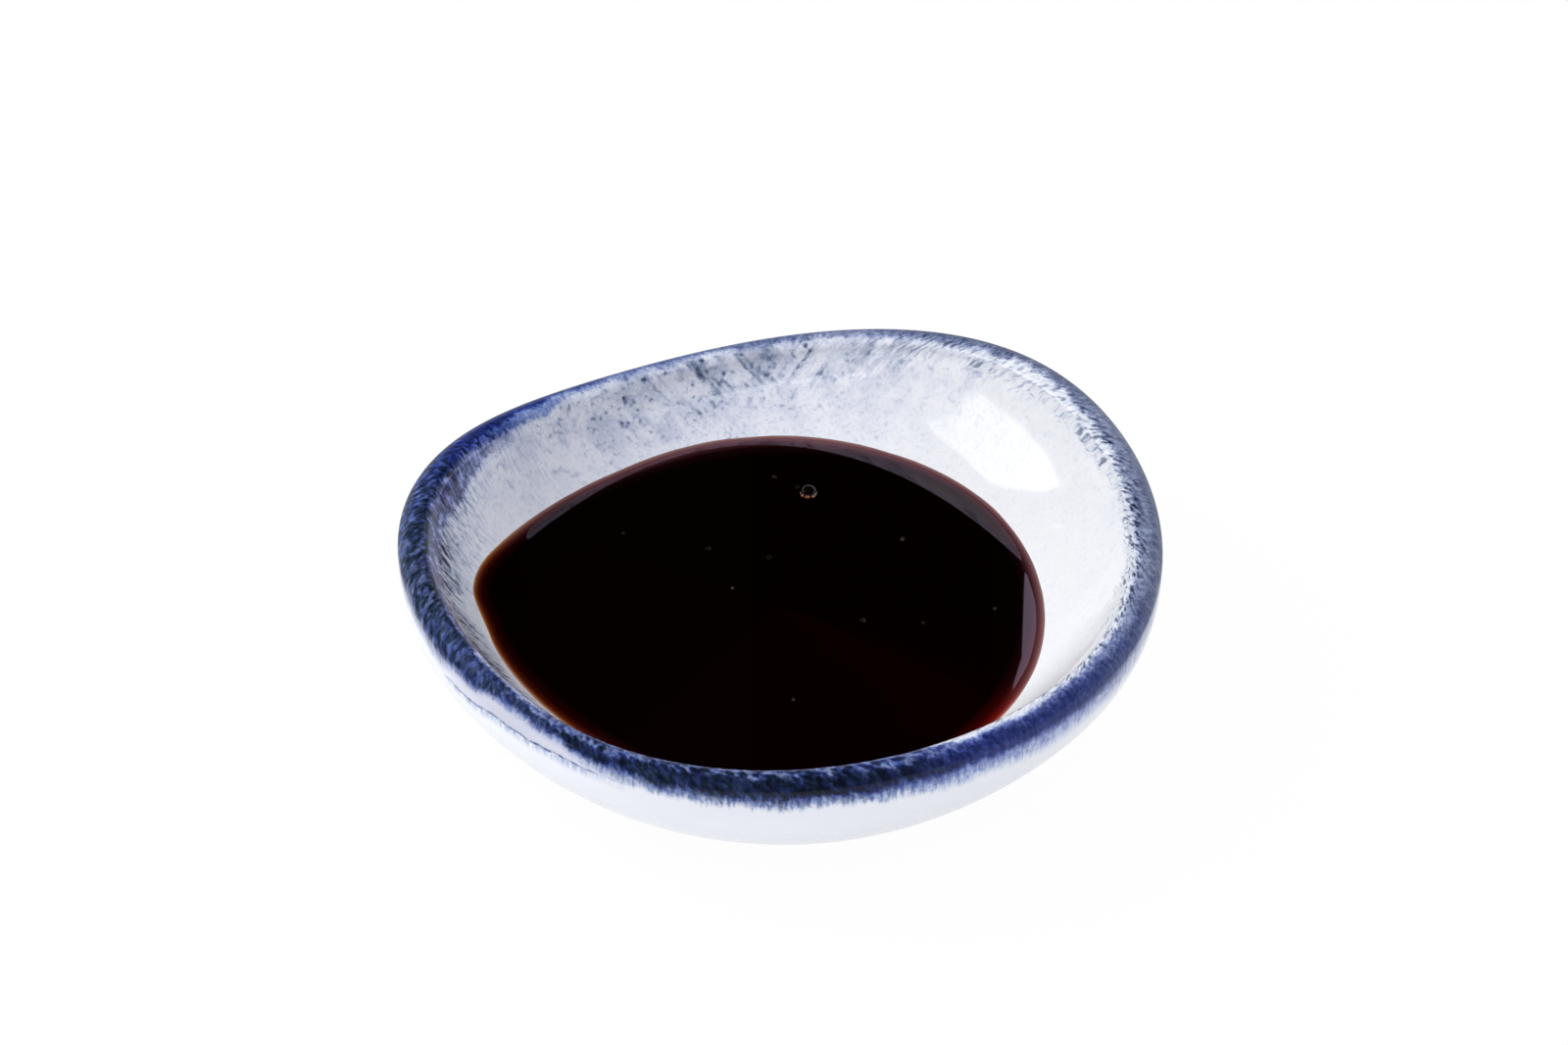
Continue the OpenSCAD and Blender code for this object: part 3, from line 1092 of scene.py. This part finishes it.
def sauceFinish():
    material, tree, shader = newFinish("soySauce")
    place = objectPlace(tree)
    glow, red = zoneRamp(tree, rimTurn(tree, place), named(glowNames, glowZones), glowNames)
    grain = noiseAt(tree, place, scale=0.5, detail=3.0)
    thick = (keptNumber(tree, "sauceDepth") / fullDepth + (grain - 0.5) * 0.03).clamped()
    lit = mixed(tree, glow, paintColour(tree, thick, sauceStops), paintColour(tree, thick, glowStops))
    colour = mixed(tree, red, lit, paintColour(tree, thick, redStops))
    dress(tree, shader, colour, 0.01 + (grain - 0.5) * 0.01)
    shader.inputs["IOR"].default_value = 1.62
    shader.inputs["Specular Tint"].default_value = (1.0, 0.66, 0.82, 1.0)
    return material


sauce = grow("soySauce", makePoolTree(), {}, sauceFinish())
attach(sauce, "root")
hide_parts("soy_sauce")

# Air bubbles: thin domes with a small ring of sauce at the foot, and pale specks round the big one, part
# foam and part painted glints of light
bubbles = [  # x, y and radius, mm
    (4.0, 25.7, 1.1),
    (2.5, 27.1, 0.3),
    (-0.6, 29.4, 0.3),
    (-20.6, 16.1, 0.3),
    (-9.3, 12.7, 0.35),
    (-1.3, 10.7, 0.35),
    (16.4, 15.0, 0.35),
    (-6.0, 3.9, 0.25),
    (10.9, -3.3, 0.35),
    (18.7, -3.9, 0.25),
    (28.0, -0.7, 0.25),
    (1.8, -20.3, 0.25),
]
bubbleShape = {
    "Around": 28,
    "Rows": 20,
    "Dome rows": 0.6,  # share of the rows on the dome
    "Ring rows": 0.2,  # and on the ring of sauce round it
    "Ring share": 1.02,  # of the bubble's radius, where the ring leaves the dome
    "Foot share": 1.06,  # and where it ends
}
domeTurn = 80  # degrees of the dome, from its top down to the ring


def bubbleStart(mesh):
    mesh.from_pydata([(x * mm, y * mm, pool["Sauce height"] * mm) for x, y, radius in bubbles], [], [])
    sizes = mesh.attributes.new("radius", "FLOAT", "POINT")
    for item, (x, y, radius) in zip(sizes.data, bubbles):
        item.value = radius


def makeBubbleTree():
    tree, size, finish = newTree("airBubbles", bubbleShape, counts=("Around", "Rows"), fromMesh=True)
    points = tree.nodes["Group Input"].outputs["Geometry"]
    mesh, angle, share = gridRows(tree, size["Rows"], size["Around"])
    # down the dome, then out along the ring at its foot, then back to the middle under it
    turn = (share / size["Dome rows"]).clamped() * domeTurn
    flare = ((share - size["Dome rows"]) / size["Ring rows"]).clamped()
    rest = 1 - flare
    atRing = math.radians(domeTurn)
    ring = rest * rest * math.sin(atRing) + flare * rest * 2 * size["Ring share"]
    ring = ring + flare * flare * size["Foot share"]
    under = size["Dome rows"] + size["Ring rows"]
    back = ((share - under) / (1 - under)).clamped()
    past = share.over(size["Dome rows"])
    reach = blend(past, turn.sine(), ring) * (1 - back)
    height = blend(past, turn.cosine(), rest * rest * math.cos(atRing))
    mesh = shaped(tree, mesh, (reach * angle.cosine(), reach * angle.sine(), height))
    place = tree.nodes.new("GeometryNodeInstanceOnPoints")
    tree.links.new(points, place.inputs["Points"])
    tree.links.new(mesh, place.inputs["Instance"])
    radius = tree.nodes.new("GeometryNodeInputNamedAttribute")
    radius.data_type = "FLOAT"
    radius.inputs["Name"].default_value = "radius"
    value = [socket for socket in radius.outputs if socket.name == "Attribute" and socket.enabled][0]
    feed(tree, place.inputs["Scale"], joined(tree, value, value, value))
    finished(tree, place.outputs["Instances"], finish)
    return tree


def bubbleFinish():
    # a clear film over the sauce, with pale specks where it meets the sauce, part foam and part painted
    # glints of light on the bubble's rim
    material, tree, shader = newFinish("bubbleFilm")
    place = objectPlace(tree)
    low = (split(tree, place)[2] - pool["Sauce height"]).ease(0.42, 0.05)
    foamAndGlints = noiseAt(tree, place, scale=2.3, detail=1.0).ease(0.5, 0.66)
    foamAndGlints = foamAndGlints * (keptNumber(tree, "radius").ease(0.3, 0.9) * 0.8 + 0.12)
    tint = noiseAt(tree, place, scale=1.4, detail=0.0)
    warm = mixed(tree, tint.ease(0.35, 0.65), sRGB(190, 104, 72), sRGB(204, 186, 166))
    roughness = keptNumber(tree, "radius").ease(0.9, 0.4) * 0.6 + 0.04
    # painted highlight: part of the pale and orange specks stands in for glints of light on the bubble's rim
    dress(tree, shader, mixed(tree, low * foamAndGlints, sRGB(10, 4, 3), warm), roughness)
    shader.inputs["IOR"].default_value = 1.3
    return material


foamAndGlints = grow("airBubbles", makeBubbleTree(), {}, bubbleFinish(), start=bubbleStart)
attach(foamAndGlints, "root")
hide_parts("air_bubbles")

# Stage: a white floor, soft lamps and cards that only show as reflections
studio = {
    "ambient": 0.8,
    "floor reach": 3000.0,
    "floor drop": 0.02,  # mm under the foot ring, so that the two faces don't meet
    "floor shade": 0.03,
    "floor in gloss": 0.3,
    "near floor in gloss": 0.95,
    "near floor": (57.0, 74.0),  # mm from the dish's middle over which that fades
    "sweep in gloss": 0.35,
    "room in gloss": 0.004,
    "key power": 3.5,
    "key place": (-620.0, 160.0, 560.0),
    "key size": 420.0,
    "front power": 0.5,
    "front place": (150.0, -700.0, 500.0),
    "front size": 500.0,
    "card distance": 700.0,
    "softbox strength": 3.0,
    "small lamp strength": 5.0,
    "panel strength": 1.2,
    "panel colour": (0.86, 0.8, 1.0),
}


def seenRays(tree):
    # 1 for rays from the camera, and for what gloss and glass show
    path = tree.nodes.new("ShaderNodeLightPath")
    seen = Wire(tree, path.outputs["Is Camera Ray"])
    return seen, Wire(tree, path.outputs["Is Glossy Ray"]), Wire(tree, path.outputs["Is Transmission Ray"])


def mixShader(tree, share, first, second):
    node = tree.nodes.new("ShaderNodeMixShader")
    for place, value in enumerate((share, first, second)):
        feed(tree, node.inputs[place], value)
    return node.outputs[0]


def sheet(name, corners, material):
    # one flat face, from its corners in mm
    data = bpy.data.meshes.new(name)
    spots = [tuple(part * mm for part in corner) for corner in corners]
    data.from_pydata(spots, [], [tuple(range(len(spots)))])
    data.materials.append(material)
    piece = bpy.data.objects.new(name, data)
    bpy.context.scene.collection.objects.link(piece)
    return piece


def makeFloor():
    material, tree, shader = newFinish("paleFloor")
    shader.inputs["Base Color"].default_value = (0.9, 0.9, 0.91, 1)
    shader.inputs["Roughness"].default_value = 0.9
    shader.inputs["Specular IOR Level"].default_value = 0.0
    glow = tree.nodes.new("ShaderNodeEmission")
    camera, glossy, through = seenRays(tree)
    seen = camera.atLeast(glossy).atLeast(through)
    x, y = split(tree, objectPlace(tree))[:2]
    close, far = studio["near floor"]
    near = (x * x + y * y).math("SQRT").ease(far, close)
    level = blend(near, studio["floor in gloss"], studio["near floor in gloss"])
    feed(tree, glow.inputs["Strength"], blend(glossy, 1, level))
    soft = mixShader(tree, seen * (1 - studio["floor shade"]), shader.outputs[0], glow.outputs[0])
    facing = tree.nodes.new("ShaderNodeNewGeometry")
    clear = tree.nodes.new("ShaderNodeBsdfTransparent")  # nothing shows from below
    bothSides = mixShader(tree, facing.outputs["Backfacing"], soft, clear.outputs[0])
    tree.links.new(bothSides, tree.nodes["Material Output"].inputs["Surface"])
    half, low = studio["floor reach"], -studio["floor drop"]
    corners = [(x * half, y * half, low) for x, y in ((-1, -1), (1, -1), (1, 1), (-1, 1))]
    floor = sheet("floor", corners, material)


def makeWorld():
    world = bpy.data.worlds.new("studio")
    bpy.context.scene.world = world
    world.use_nodes = True
    tree = world.node_tree
    background = tree.nodes["Background"]
    camera, glossy, through = seenRays(tree)
    direction = tree.nodes.new("ShaderNodeTexCoord")
    y, z = split(tree, direction.outputs["Generated"])[1:]
    # the white sweep behind the table, with the dark room above it and on the camera's side
    sweep = z.ease(0.5, 0.05) * y.ease(-0.1, 0.35)
    horizon = z.ease(0.24, 0.0) * studio["floor in gloss"]
    glossLevel = (sweep * studio["sweep in gloss"]).atLeast(horizon) + studio["room in gloss"]
    level = blend(glossy, studio["ambient"], glossLevel)
    level = blend(camera.atLeast(through), level, 1)
    background.inputs["Color"].default_value = (1.0, 1.0, 1.0, 1.0)
    feed(tree, background.inputs["Strength"], level)


def makeLamp(name):
    data = bpy.data.lights.new(name + "Lamp", "AREA")
    data.size = studio[name + " size"] * mm
    data.energy = studio[name + " power"]
    lamp = bpy.data.objects.new(name + "Lamp", data)
    bpy.context.scene.collection.objects.link(lamp)
    lamp.location = [part * mm for part in studio[name + " place"]]
    aim = lamp.location * -1
    lamp.rotation_euler = aim.to_track_quat("-Z", "Y").to_euler()
    lamp.visible_glossy = False
    lamp.visible_camera = False


def makeCard(name, corners, strength, colour=(1.0, 1.0, 1.0)):
    material, tree = newFinish(name)[:2]
    glow = tree.nodes.new("ShaderNodeEmission")
    glow.inputs["Color"].default_value = (*colour, 1.0)
    glow.inputs["Strength"].default_value = strength
    tree.links.new(glow.outputs[0], tree.nodes["Material Output"].inputs["Surface"])
    card = sheet(name, corners, material)
    card.visible_camera = False
    card.visible_diffuse = False
    card.visible_shadow = False


def mirrored(spots):
    # corners of a card seen from these spots of the dish: x, y, z in mm, azimuth and elevation
    distance = studio["card distance"]
    corners = []
    for x, y, z, azimuth, elevation in spots:
        turn = math.radians(azimuth)
        rise = math.radians(elevation)
        flat = math.cos(rise) * distance
        corners.append((x + flat * math.cos(turn), y + flat * math.sin(turn), z + math.sin(rise) * distance))
    return corners


makeFloor()
makeWorld()
makeLamp("key")
makeLamp("front")
# a tall softbox at the left, seen as the bright patch on the wall at the right
softboxSpots = (
    (19.2, 37.4, 12.2, 192.5, 38.4),
    (25.2, 36.2, 16.4, 182.7, 18.2),
    (26.8, 36.9, 19.2, 179.8, 12.0),
    (32.3, 28.1, 18.1, 168.3, 3.9),
    (35.5, 21.7, 17.4, 160.8, 1.1),
    (37.2, 16.1, 16.1, 154.3, 1.4),
    (35.3, 17.6, 14.1, 155.7, 4.3),
    (31.8, 21.4, 11.8, 161.5, 11.0),
    (28.0, 25.6, 10.2, 170.0, 21.7),
    (24.8, 30.6, 10.9, 179.7, 27.8),
    (21.9, 34.1, 11.4, 186.5, 34.0),
)
makeCard("leftSoftbox", mirrored(softboxSpots), studio["softbox strength"])
# a small lamp beside it, seen as a glint on the same wall
lampWay = ((146.2, 4.5), (146.6, 4.5), (146.9, 5.6), (146.5, 5.6))
lampSpots = [(36.8, 11.2, 12.9, azimuth, rise) for azimuth, rise in lampWay]
makeCard("smallLamp", mirrored(lampSpots), studio["small lamp strength"])
# a black flag keeps the softbox out of the left rim
makeCard("sideFlag", [(-90, -60, 12), (-90, 15, 12), (-90, 15, 60), (-90, -60, 60)], 0.0)
# a lilac panel behind the dish, whose left edge is seen as the strip in the sauce at the right
panelEdge = ((74, 300), (74, 536), (72, 545), (70, 557), (66, 640), (96, 640), (96, 300))
panelCorners = [(x, studio["card distance"], z) for x, z in panelEdge]
makeCard("backPanel", panelCorners, studio["panel strength"], studio["panel colour"])
# a black flag keeps that panel out of the sauce at the left
makeCard("flag", [(-6, 350, 135), (46, 350, 135), (46, 350, 345), (-6, 350, 345)], 0.0)
bpy.context.scene.view_settings.view_transform = "Standard"
print("stage set")
